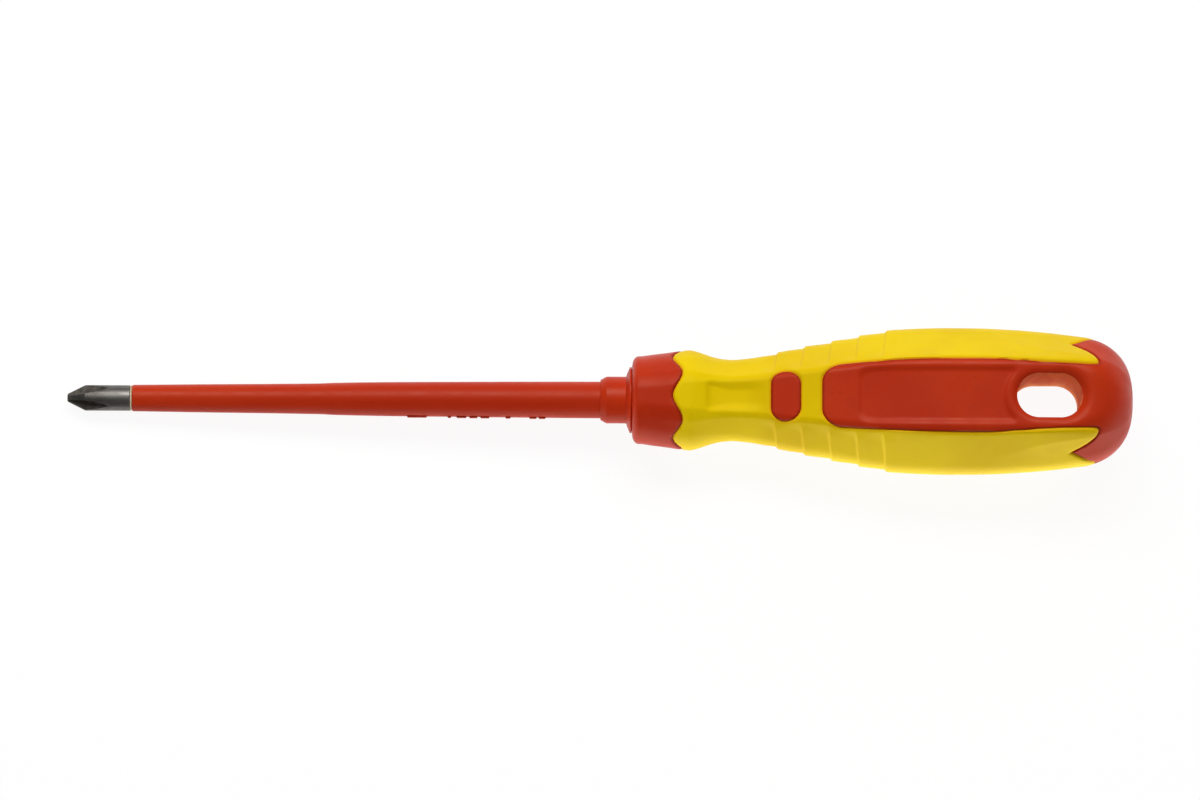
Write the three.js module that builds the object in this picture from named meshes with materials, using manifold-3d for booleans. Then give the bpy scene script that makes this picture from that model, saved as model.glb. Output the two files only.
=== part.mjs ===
import * as THREE from 'three';
import { mergeVertices } from 'three/addons/utils/BufferGeometryUtils.js';
import Module from 'manifold-3d';

// Insulated screwdriver, in millimetres. The axis of the tool is X: the point's flat end is at the origin,
// the butt lies towards +X, and the label pad faces +Z.

const { clamp, degToRad, lerp } = THREE.MathUtils;
const wasm = await Module();
wasm.setup();

// Blade
const bladeDiameter = 6;
const bareLength = 14.7;
const pointEndRadius = 0.9;
const pointHalfAngle = degToRad(26.5);
const fluteLength = 9.7;
const fluteAngle = degToRad(92);
const webAtEnd = 0.62;
const webAtRunOut = 1.15;
const frontShankDiameter = 4.2;
const rearShankDiameter = 5.2;
const shankChamfer = 0.6;
const bladeReach = 125.2;
const bladeHold = 87;
const wingSpan = 8.2;
const wingThickness = 1.8;
const wingLength = 14;
const wingBehindCollar = 58;
const grooveDepth = 0.5;
const grooveLength = 4;
const grooveFromEnd = 7;

// Insulation on the blade
const fit = 0.12;
const innerWallFront = 0.42;
const innerWallRear = 0.5;
const lipLength = 0.3;
const lipOverSteel = 0.02;
const mouthWall = 0.36;
const sleeveFrontWall = 0.88;
const sleeveStepPlace = 59.5;
const sleeveStepLength = 2.6;
const sleeveBackWall = 0.46;
const sleeveEndWall = 0.97;
const sleeveInHandle = 14.5;
const mouthRounding = 0.35;

// Raised marks on the sleeve: where each starts behind the sleeve's step, and its length
const markHeight = 0.28;
const markWidth = 1.9;
const markRoot = 0.4;
const marks = [[20.2, 4.6], [29.7, 0.8], [31.8, 2.3], [34.8, 1.9], [37.4, 2.1], [43.3, 1.2], [48.9, 1.7], [51.1, 1.6]];

// Collar and flange of the core
const collarWall = 1.07;
const collarChamfer = 1.5;
const collarLength = 6.1;
const flangeOverCollar = 2.3;
const flangeSlope = 0.8;
const flangeEdge = 0.25;
const coreWall = 0.57;
const coreLength = 94;
const ribCount = 6;
const ribWidth = 1.4;
const ribHeight = 0.9;
const ribStart = 48;
const ribLength = 40;

// Handle outline: places are measured along X behind the bolster's front face
const gap = 0.3;
const handleLength = 117.6;
const noseRadius = 8;
const noseRounding = 1.6;
const shoulderRadius = 10.4;
const flarePlace = 13.6;
const flareRadius = 11.8;
const waistPlace = 23.6;
const waistRadius = 9.6;
const bellyPlace = 66;
const bellyRadius = 17.33;
const bellyLand = 14;
const riseShare = 0.56;
const domePlace = 105.4;
const domeRadius = 15.2;
const domePower = 2.5;

// Six-sided section: across flats over across corners
const flatAtNose = 0.985;
const flatAtWaist = 0.93;
const flatAtBelly = 0.895;
const flatAtButt = 0.93;

// Stair-step creases on the sides of the grip
const creaseCount = 5;
const creaseStart = 34.2;
const creasePitch = 6.37;
const creaseRise = 0.34;
const creaseRun = 0.5;

// Grip and its windows
const gripThickness = 1.9;
const gripFront = 11;
const frontWave = 1.1;
const gripRear = 103.1;
const rearWave = 6.1;
const ovalPlace = 36.4;
const ovalLength = 6.8;
const ovalWidth = 11.9;
const panelPlace = 45;
const panelFrontWidth = 14.4;
const panelWidth = 17.6;
const panelRearWidth = 15;
const panelCorner = 4.2;

// Label pads and hanging slot
const padPlace = 55.1;
const padLength = 34.4;
const padWidth = 13.2;
const padCorner = 2.4;
const padDepth = 0.45;
const padToSlot = 2;
const slotPlace = 98.4;
const slotLength = 16;
const slotWidth = 10.9;

// Facets round the axis
const fineSides = 60;
const roundSides = 48;

// Radii that follow the blade: the inner layer round the shank, the sleeve round it, and the core round both
const innerFront = frontShankDiameter / 2 + fit;
const innerRear = rearShankDiameter / 2 + fit;
const layerFront = innerFront + innerWallFront;
const layerRear = innerRear + innerWallRear;
const lipRadius = bladeDiameter / 2 + lipOverSteel;
const sleeveMouthRadius = layerFront + fit + mouthWall;
const sleeveFrontRadius = layerFront + fit + sleeveFrontWall;
const sleeveBackRadius = layerRear + fit + sleeveBackWall;
const sleeveEndRadius = layerRear + fit + sleeveEndWall;
const collarRadius = sleeveEndRadius + fit + collarWall;
const coreRadius = sleeveEndRadius + fit + coreWall;
const flangeRadius = collarRadius + flangeOverCollar;

const collarFront = bladeReach;
const flangeFront = collarFront + collarLength;
const noseX = flangeFront + flangeSlope + flangeEdge + gap;
const buttX = noseX + handleLength;
const bladeEnd = bladeReach + bladeHold;
const sleeveEnd = collarFront + sleeveInHandle;
const farOut = bellyRadius * 2;

// A closed geometry becomes a solid: only places are kept, shared corners are merged, empty triangles dropped.
function solid(geometry) {
  geometry.deleteAttribute('normal');
  geometry.deleteAttribute('uv');
  const merged = mergeVertices(geometry, 1e-4);
  const corners = merged.index.array;
  const kept = [];
  for (let i = 0; i < corners.length; i += 3) {
    const [a, b, c] = corners.slice(i, i + 3);
    if (a !== b && b !== c && c !== a) {
      kept.push(a, b, c);
    }
  }
  const vertProperties = new Float32Array(merged.attributes.position.array);
  return new wasm.Manifold(new wasm.Mesh({ numProp: 3, vertProperties, triVerts: new Uint32Array(kept) }));
}

// Turns a profile of [x, radius] points about the X axis.
function turned(profile, sides = roundSides) {
  const points = profile.map(([x, radius]) => new THREE.Vector2(radius, x));
  const geometry = new THREE.LatheGeometry(points, sides);
  geometry.rotateZ(-Math.PI / 2);
  return geometry;
}

// A flat outline in X and Y, raised along Z from low to high.
function raised(shape, low, high) {
  const geometry = new THREE.ExtrudeGeometry(shape, { depth: high - low, bevelEnabled: false, curveSegments: 10 });
  geometry.translate(0, 0, low);
  return geometry;
}

function box(length, width, height, x, y, z) {
  const geometry = new THREE.BoxGeometry(length, width, height);
  geometry.translate(x, y, z);
  return solid(geometry);
}

// A smooth line through [place, value] stations, level at the ends and at every peak and valley.
function smoothThrough(stations, place) {
  const last = stations.length - 1;
  const at = clamp(stations.findIndex(([x]) => x > place) - 1, 0, last - 1);
  const i = place >= stations[last][0] ? last - 1 : at;
  const slope = (k) => {
    if (k === 0 || k === last) {
      return 0;
    }
    const before = (stations[k][1] - stations[k - 1][1]) / (stations[k][0] - stations[k - 1][0]);
    const after = (stations[k + 1][1] - stations[k][1]) / (stations[k + 1][0] - stations[k][0]);
    return before * after <= 0 ? 0 : (2 * before * after) / (before + after);
  };
  const [x0, y0] = stations[i];
  const [x1, y1] = stations[i + 1];
  const run = x1 - x0;
  const t = clamp((place - x0) / run, 0, 1);
  const ease = t * t * (3 - 2 * t);
  const bend = slope(i) * t * (1 - t) ** 2 - slope(i + 1) * t * t * (1 - t);
  return lerp(y0, y1, ease) + run * bend;
}

// Radius of the handle at its corners, at a place behind the bolster's front face.
function cornerRadius(place) {
  const risePlace = lerp(waistPlace, bellyPlace, 0.5);
  const riseRadius = lerp(waistRadius, bellyRadius, riseShare);
  const stations = [
    [noseRounding, shoulderRadius],
    [flarePlace, flareRadius],
    [waistPlace, waistRadius],
    [risePlace, riseRadius],
    [bellyPlace, bellyRadius],
    [bellyPlace + bellyLand, bellyRadius],
    [domePlace, domeRadius],
    [handleLength, domeRadius - (bellyRadius - domeRadius) / 2],
  ];
  const dome = clamp((place - domePlace) / (handleLength - domePlace), 0, 1);
  const nose = clamp(1 - place / noseRounding, 0, 1);
  const roundedNose = noseRadius + (shoulderRadius - noseRadius) * Math.sqrt(1 - nose * nose);
  const full = nose > 0 ? roundedNose : smoothThrough(stations, place);
  return full * (1 - dome ** domePower) ** (1 / domePower);
}

function flatShare(place) {
  const stations = [
    [0, flatAtNose],
    [waistPlace, flatAtWaist],
    [bellyPlace, flatAtBelly],
    [bellyPlace + bellyLand, flatAtBelly],
    [handleLength, flatAtButt],
  ];
  return smoothThrough(stations, place);
}

// Radius, for a corner radius of 1, of a hexagon with round corners, whose flats face +Z and every sixth turn.
function hexagon(angle, flat) {
  const sixth = Math.PI / 3;
  const fromFlat = Math.abs(angle - Math.round(angle / sixth) * sixth);
  const secant = 1 / Math.cos(sixth / 2);
  const rounding = (flat * secant - 1) / (secant - 1);
  const centre = (flat - rounding) * secant;
  const tangent = Math.atan(((flat - rounding) * Math.tan(sixth / 2)) / flat);
  if (fromFlat <= tangent) {
    return flat / Math.cos(fromFlat);
  }
  const off = sixth / 2 - fromFlat;
  return centre * Math.cos(off) + Math.sqrt(rounding ** 2 - (centre * Math.sin(off)) ** 2);
}

// Height of the stair steps: each crease jumps up, then the surface falls back before the next one.
function crease(place) {
  const since = (place - creaseStart) / creasePitch;
  if (since < -0.5 || since > creaseCount - 0.5) {
    return 0;
  }
  const fromJump = since - Math.round(since);
  const jump = creaseRun / creasePitch / 2;
  const share = Math.abs(fromJump) < jump ? fromJump / jump : Math.sign(fromJump) * (1 - 2 * (Math.abs(fromJump) - jump));
  return (share * creaseRise) / 2;
}

// The creases are full on the side corners and fade out before the panels.
function creaseWeight(angle) {
  return clamp((Math.abs(Math.sin(angle)) - 0.55) / 0.3, 0, 1);
}

// Radius of the handle's skin, or of a smooth surface sunk by inset below it, which takes no creases.
function handleRadius(place, angle, inset) {
  const smooth = cornerRadius(place) * hexagon(angle, flatShare(place));
  return inset > 0 ? smooth - inset : smooth + crease(place) * creaseWeight(angle);
}

// Places of the rings that a handle surface is made of: closer at the nose, creases and dome.
function ringPlaces(from, to, creased) {
  const places = [0, 0.1, 0.3, 0.6, 1].map((share) => share * noseRounding);
  places.push(lerp(noseRounding, gripFront, 0.4), gripFront, flarePlace);
  places.push(lerp(flarePlace, waistPlace, 0.3), lerp(flarePlace, waistPlace, 0.65), waistPlace);
  places.push(lerp(waistPlace, creaseStart, 0.5));
  for (let i = 0; i < creaseCount; i += 1) {
    const jump = creaseStart + i * creasePitch;
    const ends = creased ? [jump - creaseRun / 2, jump + creaseRun / 2] : [jump];
    places.push(...ends);
  }
  places.push(bellyPlace, bellyPlace + bellyLand, lerp(bellyPlace + bellyLand, domePlace, 0.35));
  places.push(lerp(bellyPlace + bellyLand, domePlace, 0.7), domePlace);
  for (const turn of [0.25, 0.45, 0.62, 0.76, 0.88, 0.96]) {
    places.push(lerp(domePlace, handleLength, Math.sin((turn * Math.PI) / 2)));
  }
  const inside = places.filter((place) => place > from + 0.2 && place < to - 0.2);
  return [from, ...inside.sort((a, b) => a - b), to];
}

// Moves each corner of a turned geometry to radius(place, angle) and shifts it along X.
function shaped(geometry, radius, shift = () => 0) {
  const spots = geometry.attributes.position;
  const spot = new THREE.Vector3();
  for (let i = 0; i < spots.count; i += 1) {
    spot.fromBufferAttribute(spots, i);
    const place = spot.x - noseX;
    const angle = Math.atan2(spot.y, spot.z);
    const old = Math.hypot(spot.y, spot.z);
    const scale = old > 1e-6 ? radius(place, angle, old) / old : 1;
    spots.setXYZ(i, spot.x + shift(place, angle), spot.y * scale, spot.z * scale);
  }
  return geometry;
}

// The whole handle, or the same shape sunk by inset.
function handleShape(inset = 0) {
  const places = ringPlaces(0, handleLength - inset, inset === 0);
  const profile = [[noseX, 0]];
  for (const place of places.slice(0, -1)) {
    profile.push([noseX + place, 1]);
  }
  profile.push([noseX + handleLength - inset, 0]);
  return solid(shaped(turned(profile, fineSides), (place, angle) => handleRadius(place, angle, inset)));
}

// The room of the grip: everything outside its seat, between a front edge of round waves and a rear edge
// whose rounded points lie on the corners. spread widens the room on every side.
function gripRoom(spread) {
  const front = gripFront - spread;
  const rear = gripRear + rearWave / 2 + spread;
  const places = ringPlaces(front, rear, false);
  const seat = places.map((place) => [noseX + place, 1]).reverse();
  const outside = [[noseX + front, farOut], [noseX + rear, farOut]];
  const profile = [...outside, ...seat, outside[0]];
  const radius = (place, angle, old) => (old < 2 ? handleRadius(place, angle, gripThickness + spread) : old);
  const shift = (place, angle) => {
    const frontShift = -frontWave * Math.cos(6 * angle);
    const rearShift = rearWave * (Math.abs(Math.sin(3 * angle)) - 0.5);
    return lerp(frontShift, rearShift, clamp((place - front) / (rear - front), 0, 1));
  };
  return solid(shaped(turned(profile, fineSides), radius, shift));
}

function stadium(place, length, width) {
  const shape = new THREE.Shape();
  const x = noseX + place;
  const radius = Math.min(length, width) / 2;
  const alongX = Math.max(length - width, 0) / 2;
  const alongY = Math.max(width - length, 0) / 2;
  if (alongX > 0) {
    shape.absarc(x + alongX, 0, radius, -Math.PI / 2, Math.PI / 2);
    shape.absarc(x - alongX, 0, radius, Math.PI / 2, Math.PI * 1.5);
  } else {
    shape.absarc(x, alongY, radius, 0, Math.PI);
    shape.absarc(x, -alongY, radius, Math.PI, Math.PI * 2);
  }
  return shape;
}

// Outline of the long panel: round front corners, widest on the belly, open into the butt.
function panelOutline(shrink) {
  const front = noseX + panelPlace + shrink;
  const bellyX = noseX + bellyPlace + bellyLand / 2;
  const rear = buttX + gap;
  const atFront = panelFrontWidth / 2 - shrink;
  const atBelly = panelWidth / 2 - shrink;
  const atRear = panelRearWidth / 2 - shrink;
  const shape = new THREE.Shape();
  shape.moveTo(front, -atFront + panelCorner);
  shape.quadraticCurveTo(front, -atFront, front + panelCorner, -atFront);
  shape.quadraticCurveTo(lerp(front, bellyX, 0.6), -atBelly, bellyX, -atBelly);
  shape.quadraticCurveTo(lerp(bellyX, rear, 0.5), -atBelly, rear, -atRear);
  shape.lineTo(rear, atRear);
  shape.quadraticCurveTo(lerp(bellyX, rear, 0.5), atBelly, bellyX, atBelly);
  shape.quadraticCurveTo(lerp(front, bellyX, 0.6), atBelly, front + panelCorner, atFront);
  shape.quadraticCurveTo(front, atFront, front, atFront - panelCorner);
  return shape;
}

// Outline of the label pad: round front corners, rear edge hollowed round the hanging slot.
function padOutline() {
  const front = noseX + padPlace;
  const rear = front + padLength;
  const side = padWidth / 2;
  const slotRadius = slotWidth / 2 + padToSlot;
  const slotCentre = noseX + slotPlace - (slotLength - slotWidth) / 2;
  const reach = Math.acos(clamp((slotCentre - rear) / slotRadius, -1, 1));
  const shape = new THREE.Shape();
  shape.moveTo(front, -side + padCorner);
  shape.quadraticCurveTo(front, -side, front + padCorner, -side);
  shape.lineTo(rear, -side);
  shape.absarc(slotCentre, 0, slotRadius, Math.PI + reach, Math.PI - reach, true);
  shape.lineTo(rear, side);
  shape.lineTo(front + padCorner, side);
  shape.quadraticCurveTo(front, side, front, side - padCorner);
  return shape;
}

// Oval and panel windows, on both broad sides. shrink leaves the gap round the orange islands.
function windows(shrink) {
  const oval = solid(raised(stadium(ovalPlace, ovalLength - 2 * shrink, ovalWidth - 2 * shrink), -farOut, farOut));
  const panel = solid(raised(panelOutline(shrink), -farOut, farOut));
  return oval.add(panel);
}

function labelPads() {
  return solid(raised(padOutline(), -farOut, farOut)).subtract(handleShape(padDepth));
}

function hangingSlot() {
  return solid(raised(stadium(slotPlace, slotLength, slotWidth), -farOut, farOut));
}

// Blade radius along X: point, bare end, thin shank under the front insulation, thicker shank behind.
// grow widens everything behind the bare end, for the seats cut in the core.
function bladeProfile(grow) {
  const radius = bladeDiameter / 2;
  const thin = frontShankDiameter / 2 + grow;
  const thick = rearShankDiameter / 2 + grow;
  const end = bladeEnd + grow;
  const grooveEnd = bladeEnd - grooveFromEnd - grow;
  const grooveStart = bladeEnd - grooveFromEnd - grooveLength + grow;
  return [
    [0, 0],
    [0, pointEndRadius],
    [(radius - pointEndRadius) / Math.tan(pointHalfAngle), radius],
    [bareLength, radius],
    [bareLength, thin],
    [sleeveStepPlace + fit, thin],
    [sleeveStepPlace + sleeveStepLength, thick],
    [grooveStart - grooveDepth, thick],
    [grooveStart, thick - grooveDepth],
    [grooveEnd, thick - grooveDepth],
    [grooveEnd + grooveDepth, thick],
    [end - shankChamfer, thick],
    [end, thick - shankChamfer],
    [end, 0],
  ];
}

function bladeWings(grow) {
  const length = wingLength + 2 * grow;
  const x = collarFront + wingBehindCollar + wingLength / 2;
  return box(length, wingSpan + 2 * grow, wingThickness + 2 * grow, x, 0, 0);
}

// One flute of the cross-slot point: a V whose bottom climbs from the web to the surface.
function flute(turn) {
  const steps = 10;
  const before = 1;
  const after = 0.6;
  const height = bladeDiameter;
  const side = height * Math.tan(fluteAngle / 2);
  const shape = new THREE.Shape();
  shape.moveTo(0, 0);
  shape.lineTo(-height, side);
  shape.lineTo(-height, -side);
  const depth = before + fluteLength + after;
  const geometry = new THREE.ExtrudeGeometry(shape, { depth, steps, bevelEnabled: false });
  geometry.translate(0, 0, -before);
  const spots = geometry.attributes.position;
  for (let i = 0; i < spots.count; i += 1) {
    const along = clamp(spots.getZ(i) / fluteLength, 0, 1.1);
    const runOut = clamp((along - 0.5) / 0.5, 0, 1.2);
    const bottom = lerp(webAtEnd, webAtRunOut, along) + (bladeDiameter / 2 - webAtRunOut) * runOut ** 2;
    spots.setX(i, spots.getX(i) - bottom);
  }
  geometry.rotateY(Math.PI / 2);
  geometry.rotateX(degToRad(45) + turn);
  return solid(geometry);
}

function buildBlade() {
  let blade = solid(turned(bladeProfile(0))).add(bladeWings(0));
  for (let i = 0; i < 4; i += 1) {
    blade = blade.subtract(flute((i * Math.PI) / 2));
  }
  return blade;
}

const sleeveStart = bareLength + fit + lipLength + fit;

// A thin layer with a lip that shows between the steel and the mouth of the sleeve.
function buildInnerInsulation() {
  const start = bareLength + fit;
  const stepEnd = sleeveStepPlace + sleeveStepLength;
  return solid(turned([
    [start, innerFront],
    [start, lipRadius],
    [start + lipLength, lipRadius],
    [start + lipLength, layerFront],
    [sleeveStepPlace, layerFront],
    [stepEnd, layerRear],
    [sleeveEnd, layerRear],
    [sleeveEnd, innerRear],
    [stepEnd, innerRear],
    [sleeveStepPlace, innerFront],
    [start, innerFront],
  ]));
}

function sleeveOuterRadius(x) {
  const stepEnd = sleeveStepPlace + sleeveStepLength;
  return x < stepEnd
    ? lerp(sleeveMouthRadius, sleeveFrontRadius, (x - sleeveStart) / (sleeveStepPlace - sleeveStart))
    : lerp(sleeveBackRadius, sleeveEndRadius, clamp((x - stepEnd) / (collarFront - stepEnd), 0, 1));
}

function buildOuterSleeve() {
  const stepEnd = sleeveStepPlace + sleeveStepLength;
  const sleeve = solid(turned([
    [sleeveStart, layerFront + fit],
    [sleeveStart, sleeveMouthRadius - mouthRounding],
    [sleeveStart + mouthRounding / 3, sleeveMouthRadius - mouthRounding / 4],
    [sleeveStart + mouthRounding, sleeveMouthRadius],
    [sleeveStepPlace, sleeveFrontRadius],
    [stepEnd, sleeveBackRadius],
    [lerp(stepEnd, collarFront, 0.25), lerp(sleeveBackRadius, sleeveEndRadius, 0.45)],
    [collarFront, sleeveEndRadius],
    [sleeveEnd, sleeveEndRadius],
    [sleeveEnd, layerRear + fit],
    [stepEnd, layerRear + fit],
    [sleeveStepPlace, layerFront + fit],
    [sleeveStart, layerFront + fit],
  ]));
  return marks.reduce((whole, mark) => whole.add(raisedMark(mark)), sleeve);
}

// A plain bar that stands proud of the sleeve on its -Y side.
function raisedMark([place, length]) {
  const middle = sleeveStepPlace + place + length / 2;
  const top = sleeveOuterRadius(middle) + markHeight + fit;
  const root = layerRear + fit + markRoot;
  return box(length, top - root, markWidth, middle, -(top + root) / 2, 0);
}

function coreRibs(grow) {
  let ribs = null;
  for (let i = 0; i < ribCount; i += 1) {
    const geometry = new THREE.BoxGeometry(ribLength + 2 * grow, ribWidth + 2 * grow, coreRadius + ribHeight + grow);
    geometry.translate(collarFront + ribStart + ribLength / 2, 0, (coreRadius + ribHeight + grow) / 2);
    geometry.rotateX(((i + 0.5) / ribCount) * Math.PI * 2);
    const rib = solid(geometry);
    ribs = ribs ? ribs.add(rib) : rib;
  }
  return ribs;
}

function coreShank(from, grow) {
  const end = collarFront + coreLength + grow;
  const radius = coreRadius + grow;
  const profile = [[from, 0], [from, radius], [end - shankChamfer, radius], [end, radius - shankChamfer], [end, 0]];
  return solid(turned(profile)).add(coreRibs(grow));
}

function buildHandleCore() {
  const flangeTop = flangeFront + flangeSlope;
  const nose = solid(turned([
    [collarFront, 0],
    [collarFront, collarRadius - collarChamfer / 2],
    [collarFront + collarChamfer, collarRadius],
    [flangeFront, collarRadius],
    [flangeTop, flangeRadius],
    [flangeTop + flangeEdge, flangeRadius],
    [flangeTop + flangeEdge, 0],
  ]));
  const sleeveSeat = solid(turned([
    [collarFront - gap, 0],
    [collarFront - gap, sleeveEndRadius + fit],
    [sleeveEnd + fit, sleeveEndRadius + fit],
    [sleeveEnd + fit, 0],
  ]));
  const bladeSeat = solid(turned(bladeProfile(fit))).add(bladeWings(fit));
  return nose.add(coreShank(flangeFront, 0)).subtract(sleeveSeat).subtract(bladeSeat);
}

function buildHandleBody() {
  const room = gripRoom(gap / 2).subtract(windows(gap / 2));
  const coreSeat = coreShank(noseX - gap, fit);
  return handleShape().subtract(room).subtract(coreSeat).subtract(labelPads()).subtract(hangingSlot());
}

function buildGrip() {
  return handleShape().intersect(gripRoom(-gap / 2)).subtract(windows(-gap / 2));
}

function steel() {
  return new THREE.MeshStandardMaterial({ color: 0x6f6c68, roughness: 0.42, metalness: 1 });
}

function paleInsulation() {
  return new THREE.MeshStandardMaterial({ color: 0xd9c07a, roughness: 0.55, metalness: 0 });
}

function orangeInsulation() {
  return new THREE.MeshStandardMaterial({ color: 0xc04024, roughness: 0.42, metalness: 0 });
}

function orangeHardPlastic() {
  return new THREE.MeshStandardMaterial({ color: 0xc24125, roughness: 0.38, metalness: 0 });
}

function yellowRubber() {
  return new THREE.MeshStandardMaterial({ color: 0xe6c81c, roughness: 0.6, metalness: 0 });
}

// Wraps a finished solid as a named mesh.
function part(name, shape, material) {
  const { vertProperties, triVerts } = shape.getMesh();
  const geometry = new THREE.BufferGeometry();
  geometry.setAttribute('position', new THREE.BufferAttribute(new Float32Array(vertProperties), 3));
  geometry.setIndex(new THREE.BufferAttribute(new Uint32Array(triVerts), 1));
  geometry.computeVertexNormals();
  const mesh = new THREE.Mesh(geometry, material);
  mesh.name = name;
  return mesh;
}

const screwdriver = new THREE.Group();
screwdriver.add(
  part('blade', buildBlade(), steel()),
  part('inner_insulation', buildInnerInsulation(), paleInsulation()),
  part('outer_sleeve', buildOuterSleeve(), orangeInsulation()),
  part('handle_core', buildHandleCore(), orangeHardPlastic()),
  part('handle_body', buildHandleBody(), orangeHardPlastic()),
  part('grip', buildGrip(), yellowRubber()),
);

export default screwdriver;
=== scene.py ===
import math

import bmesh
import bpy
from mathutils import Matrix, Quaternion, Vector


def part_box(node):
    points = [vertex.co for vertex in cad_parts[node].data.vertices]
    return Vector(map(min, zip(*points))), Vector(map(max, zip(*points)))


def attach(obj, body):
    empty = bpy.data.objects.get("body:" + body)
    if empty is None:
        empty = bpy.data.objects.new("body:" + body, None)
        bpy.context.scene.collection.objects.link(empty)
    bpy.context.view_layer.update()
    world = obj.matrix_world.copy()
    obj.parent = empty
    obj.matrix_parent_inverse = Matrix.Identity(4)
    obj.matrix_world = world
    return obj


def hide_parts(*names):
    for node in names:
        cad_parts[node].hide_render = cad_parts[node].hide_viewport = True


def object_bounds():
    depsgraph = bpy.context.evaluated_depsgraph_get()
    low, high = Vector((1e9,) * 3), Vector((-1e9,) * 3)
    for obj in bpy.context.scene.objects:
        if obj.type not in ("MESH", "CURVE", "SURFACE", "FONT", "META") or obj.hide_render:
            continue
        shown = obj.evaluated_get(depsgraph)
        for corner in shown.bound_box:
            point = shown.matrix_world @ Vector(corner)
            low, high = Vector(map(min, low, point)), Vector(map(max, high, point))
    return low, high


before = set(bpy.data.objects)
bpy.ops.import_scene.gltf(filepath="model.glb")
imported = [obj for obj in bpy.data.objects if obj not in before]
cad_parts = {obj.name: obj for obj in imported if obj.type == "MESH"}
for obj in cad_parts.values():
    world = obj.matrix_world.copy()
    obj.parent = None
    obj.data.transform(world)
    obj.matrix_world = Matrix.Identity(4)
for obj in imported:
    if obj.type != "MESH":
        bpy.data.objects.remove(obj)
cad_low, cad_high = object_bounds()

# ----------------------------------------------------------------------------------------
# Sizes, in millimetres unless a name says otherwise. Places on the handle are measured
# behind its front face.
# ----------------------------------------------------------------------------------------
MM = 0.001
body_low, body_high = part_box("handle_body")
grip_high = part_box("grip")[1]
blade_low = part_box("blade")[0]
sleeve_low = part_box("outer_sleeve")[0]
pale_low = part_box("inner_insulation")[0]
core_low, core_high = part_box("handle_core")

NOSE = body_low.x / MM
HANDLE = body_high.x / MM - NOSE
BELLY = grip_high.y / MM
BELLY_PLACE = 73.4

NOSE_RADIUS = 8.0
NOSE_ROUNDING = 1.6
SHOULDER_RADIUS = 10.35
DOME = 105.4
DOME_POWER = 2.5

WAIST = 9.59

# Radius of the handle over its side corners
OUTLINE = (
    (NOSE_ROUNDING, SHOULDER_RADIUS),
    (5.0, 10.75),
    (8.0, 11.12),
    (11.0, 11.55),
    (13.6, 11.8),
    (15.4, 11.42),
    (17.4, 10.75),
    (19.4, 10.12),
    (21.4, 9.74),
    (23.6, WAIST),
    (26.4, 9.8),
    (29.2, 10.18),
    (34.2, 11.2),
    (37.4, 11.98),
    (43.4, 13.2),
    (49.8, 14.5),
    (56.4, 15.82),
    (63.2, 16.95),
    (68.8, 17.22),
    (BELLY_PLACE, BELLY),
    (80.0, 17.29),
    (88.4, 16.95),
    (97.0, 16.24),
    (DOME, 15.2),
    (HANDLE, 13.7),
)

# Radius that the six-sided section keeps behind the belly, where a facet takes off its
# side corners
SIX_SIDED = ((80.0, 17.29), (90.0, 17.3), (99.0, 17.2), (DOME, 16.6), (HANDLE, 14.8))

# Across flats over across corners
FLATS = ((0.0, 0.985), (13.6, 0.965), (23.6, 0.93), (66.0, 0.895), (97.0, 0.895), (HANDLE, 0.95))

# Radius of the side corners over the radius of the handle there
SIDE_ARC = (
    (0.0, 0.98),
    (13.6, 0.9),
    (23.6, 0.72),
    (50.0, 0.54),
    (66.0, 0.5),
    (97.0, 0.5),
    (HANDLE, 0.85),
)
# How softly the faces of the section meet, over its radius: along the handle, at the butt and
# where a side corner is capped
EDGE_SOFTNESS = 0.075
BUTT_SOFTNESS = 0.3
CAP_SOFTNESS = 0.01
# The broad side's own plane is followed up to this turn away from it
BROAD_TURN = math.radians(75)

# The facet behind the belly: its edge lies this far from the middle of the sloped face, high
# at first and falling away behind FACET_START
FACET_START = 85.2
FACET_LOW = -7.0
FACET_DROP = 9.3
FACET_RUN = 10.0
FACET_MARGIN = 0.5
FACET_TURN = 0.6
FACET_SOFTNESS = 0.012
FACET_POWER = 0.75

CREASES = 5
CREASE_FIRST = 33.9
CREASE_PITCH = 6.37
CREASE_RISE = 0.46
CREASE_RUN = 0.5
CREASE_SLANT = 1.2
# Turns from the broad side: where a crease begins to slant, where it is at its own place, and
# between which it fades in
SLANT_FROM = math.radians(30)
SLANT_MIDDLE = math.radians(75)
CREASE_FADE = (math.radians(33), math.radians(46))

FRONT_EDGE = 10.5
FRONT_WAVE = 1.1
REAR_NOTCH = 103.0
REAR_POINT = 6.2
POINT_ROUNDING = 1.1
BUTT_FROM = REAR_NOTCH - 4

OVAL_PLACE = 35.95
OVAL_HALF_LENGTH = 3.4
OVAL_HALF_WIDTH = 5.95
PANEL_FRONT = 44.5
PANEL_CORNER = 4.6
PANEL_WIDTH = (
    (PANEL_FRONT, 7.3),
    (55.4, 8.0),
    (68.0, 8.6),
    (77.0, 8.8),
    (82.4, 8.8),
    (91.8, 8.26),
    (100.9, 7.7),
    (HANDLE, 7.4),
)
PANEL_SINK = 0.2
PANEL_SINK_FADES_IN = (FRONT_EDGE, FRONT_EDGE + 5)
PANEL_SINK_FADES_OUT = (REAR_NOTCH + 9, REAR_NOTCH + 1)
# The pad and the rim lie where the surface faces Z this much, from fading in to whole
BROAD_FACING = (0.2, 0.6)

PAD_FRONT = 52.9
PAD_REAR = 91.0
PAD_HALF_WIDTH = 6.6
PAD_CORNER = 2.6
PAD_DEPTH = 0.55
PAD_TO_SLOT = 2.4
PAD_TO_SLOT_SOFTNESS = 1.5
# Width of the pad's edge at its front and along its sides, and the run between the two
PAD_EDGE = (1.3, 0.7)
PAD_EDGE_RUN = 6.0

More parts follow.
